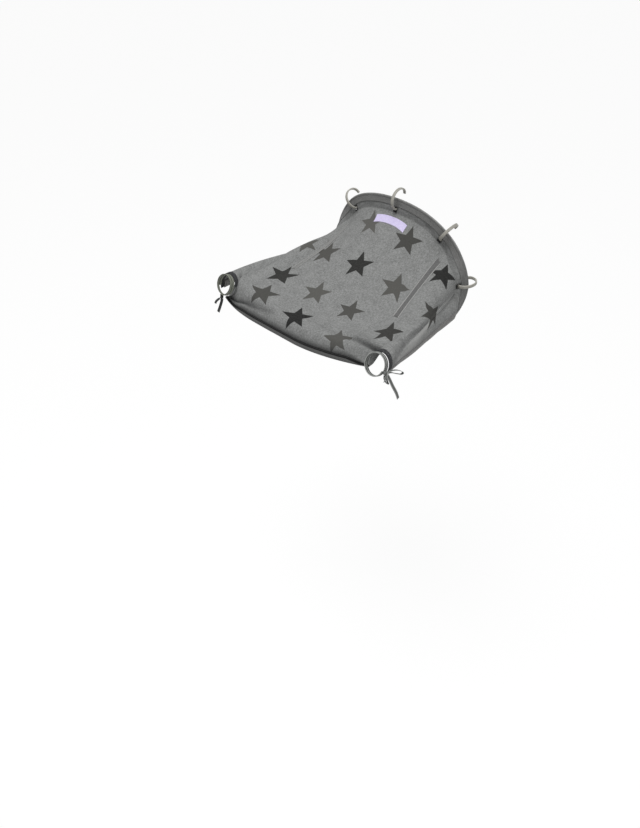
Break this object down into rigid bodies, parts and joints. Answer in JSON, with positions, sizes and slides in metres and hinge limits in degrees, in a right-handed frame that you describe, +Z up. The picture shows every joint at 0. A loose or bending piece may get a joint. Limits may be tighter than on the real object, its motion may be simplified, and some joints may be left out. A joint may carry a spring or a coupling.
{
  "type": "pram sun shade",
  "caption": "Cloth sun shade for a pram: an arched back edge with hinged claws that clip over the hood's rim, and tape ties at the front corners that go round the handle.",
  "frame": {"origin": "on the axis of the hood's rim tube, at the crown of the arch, where the middle claw clips round it", "axes": "+X to the pram's right, +Y from the handle to the hood, +Z up"},
  "size_m": [0.5186, 0.3839, 0.2778],
  "materials": {
    "panel_cloth": "grey melange jersey printed with dark stars",
    "band_cloth": "plain brown-grey woven binding",
    "hem_ribbon": "dark ribbed ribbon",
    "label": "satin woven label, bare",
    "pocket_tape": "dark woven tape",
    "tie_tape": "dark flat woven tape",
    "claw_plastic": "light grey moulded plastic, satin",
    "rod_plastic": "clear springy plastic rod"
  },
  "bodies": {
    "cloth": {"main_panel": "panel_cloth", "front_hem": "hem_ribbon", "corner_hem_left": "hem_ribbon", "corner_hem_right": "hem_ribbon", "side_hem_left": "band_cloth", "side_hem_right": "band_cloth", "rim_band": "band_cloth", "rim_rod": "rod_plastic", "slot_band_left": "band_cloth", "slot_band_right": "band_cloth", "label": "label", "left_tie": "tie_tape", "left_knot": "tie_tape", "left_tail_short": "tie_tape", "left_tail_long": "tie_tape", "right_tie": "tie_tape", "right_knot": "tie_tape", "right_loop_upper": "tie_tape", "right_loop_lower": "tie_tape", "right_tail_long": "tie_tape", "right_tail_short": "tie_tape", "claw_pocket_1": "pocket_tape", "claw_pocket_2": "pocket_tape", "claw_pocket_3": "pocket_tape", "claw_pocket_4": "pocket_tape", "claw_pocket_5": "pocket_tape"},
    "claw_1": {"claw_1": "claw_plastic"},
    "claw_2": {"claw_2": "claw_plastic"},
    "claw_3": {"claw_3": "claw_plastic"},
    "claw_4": {"claw_4": "claw_plastic"},
    "claw_5": {"claw_5": "claw_plastic"}
  },
  "joints": [
    {"name": "claw_1_hinge", "type": "hinge", "parent": "cloth", "child": "claw_1", "pos_m": [-0.17559, -0.02239, -0.15155], "axis": [0.0495, 0.1749, 0.9833], "range_deg": [-10, 45]},
    {"name": "claw_2_hinge", "type": "hinge", "parent": "cloth", "child": "claw_2", "pos_m": [-0.11927, -0.01175, -0.05081], "axis": [0.7567, -0.074, 0.6495], "range_deg": [-22, 33]},
    {"name": "claw_3_hinge", "type": "hinge", "parent": "cloth", "child": "claw_3", "pos_m": [0, -0.01544, -0.01846], "axis": [1, 0, 0], "range_deg": [-20, 35]},
    {"name": "claw_4_hinge", "type": "hinge", "parent": "cloth", "child": "claw_4", "pos_m": [0.12363, -0.01175, -0.05103], "axis": [0.8173, 0.0662, -0.5724], "range_deg": [-7, 48]},
    {"name": "claw_5_hinge", "type": "hinge", "parent": "cloth", "child": "claw_5", "pos_m": [0.18772, -0.02146, -0.13428], "axis": [0.1152, 0.0655, -0.9912], "range_deg": [-16, 39]}
  ]
}
